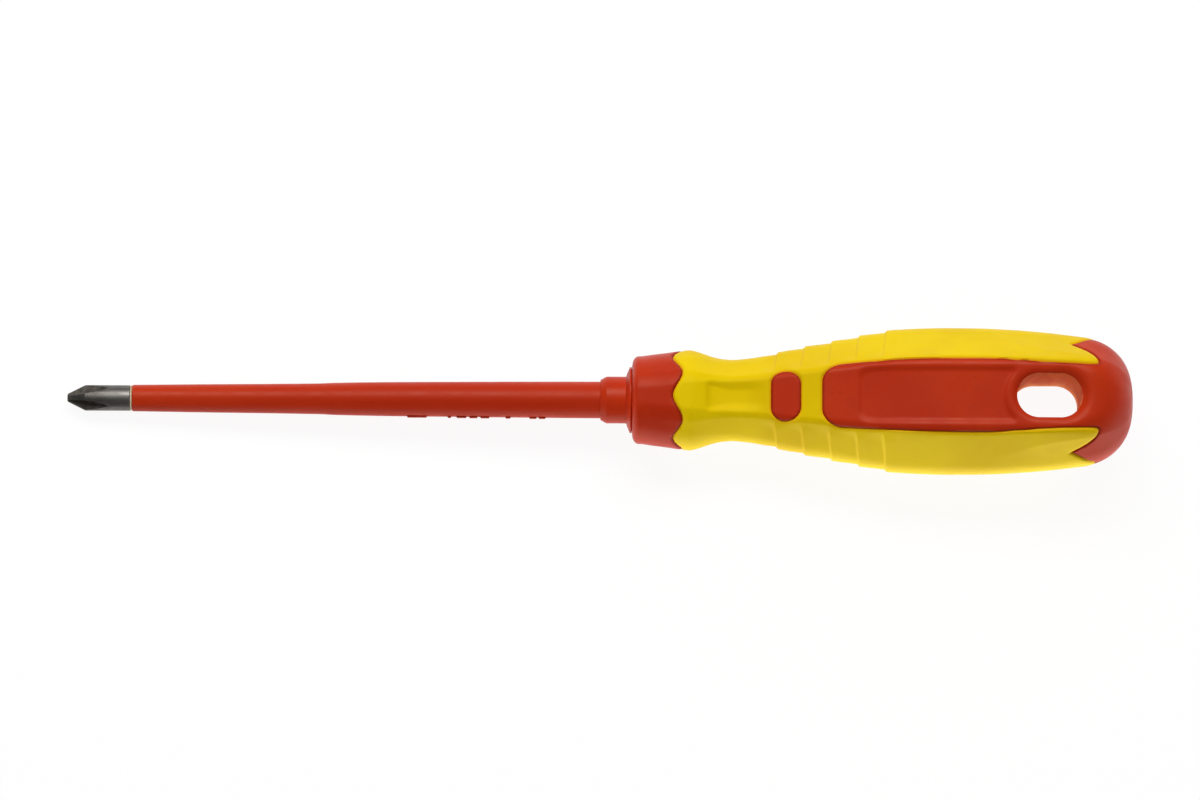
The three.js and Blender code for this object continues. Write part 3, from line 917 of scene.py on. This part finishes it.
def make_blade():
    """The bare bar with its cross-slot point, and a thinner stub that ends inside the sleeve."""
    tip = blade_low.x / MM
    cone_end = tip + (BAR_RADIUS - POINT_RADIUS) / math.tan(POINT_ANGLE)
    bare = pale_low.x / MM - 0.05
    end = bare + THIN_LENGTH
    profile = [(tip, 0), (tip, POINT_RADIUS), (cone_end, BAR_RADIUS)]
    profile += [(x, BAR_RADIUS) for x in (7.0, 10.0, 12.5)]
    profile += [(bare, BAR_RADIUS), (bare, THIN_RADIUS), (end, THIN_RADIUS), (end, 0)]
    blade = spun("steel_blade", profile, 128)
    bevelled(blade, *TURNED_BEVEL, segments=3)
    for quarter in range(4):
        cut(blade, flute_wheel(math.pi / 4 + quarter * math.pi / 2))
    only(blade)
    bpy.ops.object.mode_set(mode="EDIT")
    bpy.ops.mesh.select_all(action="SELECT")
    bpy.ops.mesh.remove_doubles(threshold=0.00002)
    bpy.ops.object.mode_set(mode="OBJECT")
    bevelled(blade, *GROUND_BEVEL, segments=2)
    settle(blade, 30)
    mark_edges(blade)
    dress(blade, blade_steel(), "blade")
    blade.data.materials.append(flute_steel())
    for face in blade.data.polygons:
        x, y, z = face.center / MM
        surface = min(BAR_RADIUS, POINT_RADIUS + x * math.tan(POINT_ANGLE))
        if 0.1 < x < pale_low.x / MM - 1 and math.hypot(y, z) < surface - FLUTE_DEPTH:
            face.material_index = 1
    return blade


def mark_edges(blade):
    """How near each corner of the mesh is to a ground edge, for the rubbed steel there."""
    mesh = bmesh.new()
    mesh.from_mesh(blade.data)
    values = []
    for vertex in mesh.verts:
        turns = [edge.calc_face_angle(0.0) for edge in vertex.link_edges]
        values.append(clamp(max(turns, default=0.0) / 0.5))
    mesh.free()
    edge = blade.data.attributes.new("edge", "FLOAT", "POINT")
    edge.data.foreach_set("value", values)


RING_OUTER = 3.04
RING_BACK = 2.62
RING_INNER = THIN_RADIUS + 0.1
RING_LIP = 0.32
RING_LENGTH = 8


def make_pale_ring():
    """The front end of the inner layer: a short lip in the sleeve's mouth, thinner behind it."""
    start = pale_low.x / MM
    lip, end = start + RING_LIP, start + RING_LENGTH
    profile = [(start, RING_INNER), (start, RING_OUTER), (lip, RING_OUTER), (lip, RING_BACK)]
    profile += [(end, RING_BACK), (end, RING_INNER), (start, RING_INNER)]
    ring = spun("pale_ring", rounded(profile, 0.1), 96)
    settle(ring)
    dress(ring, pale_insulation(), "inner_insulation")
    return ring


# Radius of the sleeve, by the place behind its mouth
SLEEVE = (
    (0.0, 3.12),
    (5.0, 3.17),
    (16.0, 3.31),
    (30.0, 3.44),
    (40.5, 3.57),
    (44.2, 3.63),
    (47.4, 3.78),
    (54.8, 3.93),
    (61.8, 4.02),
    (76.0, 4.12),
    (90.0, 4.22),
    (108.0, 4.3),
)
SLEEVE_BORE = 2.75
SLEEVE_MOUTH = 0.35
SLEEVE_STEPS = 110
SLEEVE_IN_CORE = 6

# The row of raised bars: where each starts behind the sleeve's mouth, and its length
MARKS = (
    (64.6, 4.6),
    (74.1, 0.8),
    (76.2, 2.3),
    (79.2, 1.9),
    (81.8, 2.1),
    (87.7, 1.2),
    (93.3, 1.7),
    (95.5, 1.6),
)
MARK_HEIGHT = 0.26
MARK_WIDTH = 1.7
MARK_ROOT = 0.7
MARK_ROUNDING = 0.2


def raised_bar(start, length, surface):
    """One plain bar of the row on the sleeve: a block with its top edges rounded over."""
    deselect()
    height = MARK_HEIGHT + MARK_ROOT
    middle = start + length / 2
    bpy.ops.mesh.primitive_cube_add(
        size=1,
        location=(middle * MM, -(surface + MARK_HEIGHT - height / 2) * MM, 0),
        scale=(length * MM, height * MM, MARK_WIDTH * MM),
    )
    bar = bpy.context.object
    bpy.ops.object.transform_apply(location=True, rotation=True, scale=True)
    bpy.ops.object.mode_set(mode="EDIT")
    top = -(surface + MARK_HEIGHT) * MM
    pick(bar, "FACE", lambda face: abs(face.calc_center_median().y - top) < 1e-6)
    bpy.ops.mesh.bevel(offset=MARK_ROUNDING * MM, segments=3, affect="EDGES")
    bpy.ops.object.mode_set(mode="OBJECT")
    return bar


def make_sleeve():
    """The drawn sleeve with its rounded mouth, soft step and row of raised bars."""
    start = sleeve_low.x / MM
    end = core_low.x / MM + SLEEVE_IN_CORE
    lip = SLEEVE[0][1]
    profile = [(start, SLEEVE_BORE), (start, lip - SLEEVE_MOUTH)]
    for i in range(1, 6):
        turn = i / 6 * math.pi / 2
        x = start + SLEEVE_MOUTH * (1 - math.cos(turn))
        profile.append((x, lip - SLEEVE_MOUTH * (1 - math.sin(turn))))
    for i in range(SLEEVE_STEPS + 1):
        x = mix(start + SLEEVE_MOUTH, end, i / SLEEVE_STEPS)
        profile.append((x, smooth_through(SLEEVE, x - start)))
    profile += [(end, SLEEVE_BORE), (start, SLEEVE_BORE)]
    sleeve = spun("orange_sleeve", profile, 96)
    for place, length in MARKS:
        middle = place + length / 2
        bar = raised_bar(start + place, length, smooth_through(SLEEVE, middle))
        cut(sleeve, bar, "UNION")
    settle(sleeve, 35)
    dress(sleeve, orange_sleeve_finish(), "outer_sleeve")
    return sleeve


COLLAR_BORE = 4.4
COLLAR_MOUTH = 4.72
COLLAR_RADIUS = 5.5
COLLAR_CHAMFER = 1.45
FLANGE_STEP = 0.5


def make_collar():
    """The nose of the core: chamfered collar, short cone and the thin flange against the
    bolster."""
    front = core_low.x / MM
    flange = core_high.z / MM
    profile = [
        (front, COLLAR_BORE),
        (front, COLLAR_MOUTH),
        (front + COLLAR_CHAMFER, COLLAR_RADIUS),
        (NOSE - 1.5, COLLAR_RADIUS),
        (NOSE - 1.32, COLLAR_RADIUS + 0.12),
        (NOSE - 1.26, COLLAR_RADIUS + 0.5),
        (NOSE - 0.62, flange - 0.28),
        (NOSE - 0.52, flange - 0.02),
        (NOSE - 0.1, flange - 0.02),
        (NOSE - 0.1, flange - FLANGE_STEP),
        (NOSE + 1.0, flange - FLANGE_STEP),
        (NOSE + 1.0, COLLAR_BORE),
        (front, COLLAR_BORE),
    ]
    piece = spun("orange_collar", rounded(profile, 0.3), 128)
    settle(piece, 35)
    finish = orange_plastic("orange hard plastic", 0.36, 0.00001)
    dress(piece, finish, "handle_core")
    return piece


CUTTER_TOP = 20.0
SLOT_DRAFT = 0.965
# From the middle plane up: height in millimetres, and the width over that of the level below
SLOT_LEVELS = (
    (-0.18, SLOT_DRAFT),
    (-0.06, 1.0),
    (0.0, 0.982),
    (0.06, 1.0),
    (0.18, 1.0),
    (CUTTER_TOP, 1 / SLOT_DRAFT),
)


def slot_cutter():
    """Cutter for the hanging slot: straight sides, round ends, drawn in a little towards its
    middle plane, with a fine waist there that leaves the parting line on the wall."""
    deselect()
    straight = SLOT_HALF_LENGTH - SLOT_HALF_WIDTH
    middle = (NOSE + SLOT_PLACE) * MM
    bpy.ops.mesh.primitive_circle_add(
        vertices=96,
        radius=SLOT_HALF_WIDTH * MM,
        fill_type="NGON",
        location=(middle, 0, -CUTTER_TOP * MM),
    )
    cutter = bpy.context.object
    bpy.ops.object.transform_apply(location=True, rotation=True, scale=True)
    bpy.ops.object.mode_set(mode="EDIT")
    for side in (1, -1):
        pick(cutter, "VERT", lambda vert: (vert.co.x - middle) * side > 1e-6)
        bpy.ops.transform.translate(value=(side * straight * MM, 0, 0))
    bpy.ops.mesh.select_mode(type="FACE")
    bpy.ops.mesh.select_all(action="SELECT")
    height = -CUTTER_TOP
    for level, scale in SLOT_LEVELS:
        move = (0, 0, (level - height) * MM)
        bpy.ops.mesh.extrude_region_move(TRANSFORM_OT_translate={"value": move})
        centre = (middle, 0, level * MM)
        bpy.ops.transform.resize(value=(scale, scale, 1), center_override=centre)
        height = level
    bpy.ops.mesh.select_all(action="SELECT")
    bpy.ops.mesh.normals_make_consistent(inside=False)
    bpy.ops.object.mode_set(mode="OBJECT")
    return cutter


def finish_slot_walls(body):
    """The cut walls of the slot lie far from the seam, out of its painted shade, meet its rim in
    a crisp edge and have their own finish with painted light."""
    seam = body.data.attributes["seam"].data
    inside = []
    for vertex, value in zip(body.data.vertices, seam):
        inside.append(slot_distance(vertex.co.x / MM - NOSE, vertex.co.y / MM) < 0.2)
        if inside[-1]:
            value.value = HANDLE
    only(body)
    bpy.ops.object.mode_set(mode="EDIT")

    def is_wall(face):
        return abs(face.normal.z) < 0.2 and all(inside[vert.index] for vert in face.verts)

    pick(body, "EDGE", lambda edge: sum(is_wall(face) for face in edge.link_faces) == 1)
    bpy.ops.mesh.mark_sharp()
    # The walls take the lighter orange of painted light
    body.data.materials.append(slot_wall_painted_light_finish())
    body.active_material_index = 1
    pick(body, "FACE", is_wall)
    bpy.ops.object.material_slot_assign()
    bpy.ops.object.mode_set(mode="OBJECT")


def make_orange_body():
    body = formed("orange_handle", orange_surface)
    cut(body, slot_cutter())
    settle(body, 50)
    finish = orange_plastic("orange satin plastic", 0.4, 0.000012, painted_seam_shade=True)
    dress(body, finish, "handle_body")
    finish_slot_walls(body)
    return body


def make_yellow_grip():
    """The grip without what would lie more than SKIN_OVERLAP past the seam, as a thin skin."""
    grip = formed("yellow_grip", yellow_surface)
    only(grip)
    seam = [entry.value for entry in grip.data.attributes["seam"].data]
    bpy.ops.object.mode_set(mode="EDIT")
    pick(grip, "VERT", lambda vert: seam[vert.index] > SKIN_OVERLAP)
    bpy.ops.mesh.delete(type="VERT")
    bpy.ops.object.mode_set(mode="OBJECT")
    modify(grip, "SOLIDIFY", thickness=SKIN_THICKNESS * MM, offset=-1.0)
    settle(grip, 60)
    dress(grip, yellow_rubber(), "grip")
    return grip


# ----------------------------------------------------------------------------------------
# Camera, floor and light
# ----------------------------------------------------------------------------------------
VIEW_ELEVATION = math.radians(83.7)
VIEW_ROLL = math.radians(0.24)
VIEW_WIDTH = 0.282
VIEW_DISTANCE = 2.0
SENSOR_WIDTH = 36


def make_camera():
    """A long lens that looks down on the tool, a little from the -Y side."""
    centre = (cad_low + cad_high) / 2
    back = Vector((0, -math.cos(VIEW_ELEVATION), math.sin(VIEW_ELEVATION)))
    data = bpy.data.cameras.new("camera")
    data.sensor_width = SENSOR_WIDTH
    data.lens = SENSOR_WIDTH * VIEW_DISTANCE / VIEW_WIDTH
    camera = bpy.data.objects.new("camera", data)
    bpy.context.collection.objects.link(camera)
    camera.location = centre + back * VIEW_DISTANCE
    camera.rotation_mode = "QUATERNION"
    level = (-back).to_track_quat("-Z", "Y")
    camera.rotation_quaternion = level @ Quaternion((0, 0, 1), VIEW_ROLL)
    bpy.context.scene.camera = camera


def by_ray(nodes, links, seen, unseen):
    """seen for camera, glossy and transmission rays, unseen for the rest."""
    path = nodes.new("ShaderNodeLightPath")
    total = path.outputs["Is Camera Ray"]
    for name in ("Is Glossy Ray", "Is Transmission Ray"):
        node = nodes.new("ShaderNodeMath")
        node.operation = "MAXIMUM"
        links.new(total, node.inputs[0])
        links.new(path.outputs[name], node.inputs[1])
        total = node.outputs["Value"]
    shader = nodes.new("ShaderNodeMixShader")
    links.new(total, shader.inputs[0])
    links.new(unseen, shader.inputs[1])
    links.new(seen, shader.inputs[2])
    return shader.outputs[0]


# The floor as the camera sees it: its own white, and the grey that takes the shadow
FLOOR_WHITE = 0.93
FLOOR_GREY = (0.1, 0.1, 0.1, 1)
FLOOR_SIDE = 3
FLOOR_BELOW = 0.0001
FLOOR_TOUCH = 73.0

# The light that it gives to all other rays: in the strip and elsewhere, and where the strip
# fades out, each from dark to bright, in metres along Y
TABLE_FRONT = 3.9
TABLE_GLOW = 1.0
TABLE_STRIP = ((-0.12, -0.075), (-0.018, -0.035))


def make_floor():
    """White to the camera, and to other rays a light table with a bright strip along the -Y
    side. It leans so that it touches the belly of the handle and the shoulder of the point."""
    shoulder = (BAR_RADIUS - POINT_RADIUS) / math.tan(POINT_ANGLE) * MM
    belly = (NOSE + FLOOR_TOUCH) * MM
    under = body_low.z + PANEL_SINK * MM
    drop = -under - BAR_RADIUS * MM
    lean = math.atan2(drop, belly - shoulder)
    deselect()
    bpy.ops.mesh.primitive_plane_add(size=FLOOR_SIDE)
    floor = bpy.context.object
    floor.name = "floor"
    floor.rotation_euler = (0, lean, 0)
    floor.location = (belly, 0, under - FLOOR_BELOW)
    material = bpy.data.materials.new("pale floor")
    material.use_nodes = True
    nodes, links = material.node_tree.nodes, material.node_tree.links
    nodes.clear()
    glow = nodes.new("ShaderNodeEmission")
    glow.inputs["Strength"].default_value = FLOOR_WHITE
    plain = nodes.new("ShaderNodeBsdfDiffuse")
    plain.inputs["Color"].default_value = FLOOR_GREY
    both = nodes.new("ShaderNodeAddShader")
    links.new(glow.outputs[0], both.inputs[0])
    links.new(plain.outputs[0], both.inputs[1])
    table = nodes.new("ShaderNodeEmission")
    spot = nodes.new("ShaderNodeTexCoord")
    across = nodes.new("ShaderNodeSeparateXYZ")
    links.new(spot.outputs["Object"], across.inputs[0])
    strip = nodes.new("ShaderNodeMath")
    strip.operation = "MULTIPLY"
    for index, (dark, bright) in enumerate(TABLE_STRIP):
        fade = nodes.new("ShaderNodeMapRange")
        set_range(fade, dark, bright)
        links.new(across.outputs["Y"], fade.inputs["Value"])
        links.new(fade.outputs["Result"], strip.inputs[index])
    level = nodes.new("ShaderNodeMapRange")
    set_range(level, 0.0, 1.0, TABLE_GLOW, TABLE_FRONT)
    links.new(strip.outputs["Value"], level.inputs["Value"])
    links.new(level.outputs["Result"], table.inputs["Strength"])
    out = nodes.new("ShaderNodeOutputMaterial")
    links.new(by_ray(nodes, links, both.outputs[0], table.outputs[0]), out.inputs["Surface"])
    floor.data.materials.append(material)


HORIZON_LIGHT = 0.12
OVERHEAD_LIGHT = 0.16
# Heights on the unit sphere between which the light goes from one to the other
SKY_HEIGHTS = (0.1, 0.8)


def make_world():
    """White to the camera; around the object it is dim, a little less so overhead."""
    world = bpy.data.worlds.new("studio")
    bpy.context.scene.world = world
    world.use_nodes = True
    nodes, links = world.node_tree.nodes, world.node_tree.links
    nodes.clear()
    white = nodes.new("ShaderNodeBackground")
    white.inputs["Color"].default_value = (1, 1, 1, 1)
    white.inputs["Strength"].default_value = 1.0
    soft = nodes.new("ShaderNodeBackground")
    soft.inputs["Color"].default_value = (1, 1, 1, 1)
    around = nodes.new("ShaderNodeTexCoord")
    height = nodes.new("ShaderNodeSeparateXYZ")
    links.new(around.outputs["Generated"], height.inputs[0])
    fade = nodes.new("ShaderNodeMapRange")
    set_range(fade, *SKY_HEIGHTS, HORIZON_LIGHT, OVERHEAD_LIGHT)
    links.new(height.outputs["Z"], fade.inputs["Value"])
    links.new(fade.outputs["Result"], soft.inputs["Strength"])
    path = nodes.new("ShaderNodeLightPath")
    shader = nodes.new("ShaderNodeMixShader")
    links.new(path.outputs["Is Camera Ray"], shader.inputs[0])
    links.new(soft.outputs[0], shader.inputs[1])
    links.new(white.outputs[0], shader.inputs[2])
    out = nodes.new("ShaderNodeOutputWorld")
    links.new(shader.outputs[0], out.inputs["Surface"])


# The lamp, in metres and watts
KEY_PLACE = (0.12, 0.77, 1.11)
KEY_SIZE = (1.2, 0.5)
KEY_POWER = 14.5


def make_key_lamp():
    """A broad lamp above the +Y side, turned to the middle of the tool."""
    data = bpy.data.lights.new("key", "AREA")
    data.shape = "RECTANGLE"
    data.size, data.size_y = KEY_SIZE
    data.energy = KEY_POWER
    lamp = bpy.data.objects.new("key", data)
    bpy.context.collection.objects.link(lamp)
    lamp.location = KEY_PLACE
    lamp.rotation_mode = "QUATERNION"
    aim = (cad_low + cad_high) / 2 - Vector(KEY_PLACE)
    lamp.rotation_quaternion = aim.to_track_quat("-Z", "Y")


bpy.context.scene.view_settings.view_transform = "Standard"
make_camera()
covered = stand_in_finish()
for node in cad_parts.values():
    node.data.materials.clear()
    node.data.materials.append(covered)
make_blade()
make_pale_ring()
make_sleeve()
make_collar()
make_orange_body()
make_yellow_grip()
make_floor()
make_world()
make_key_lamp()
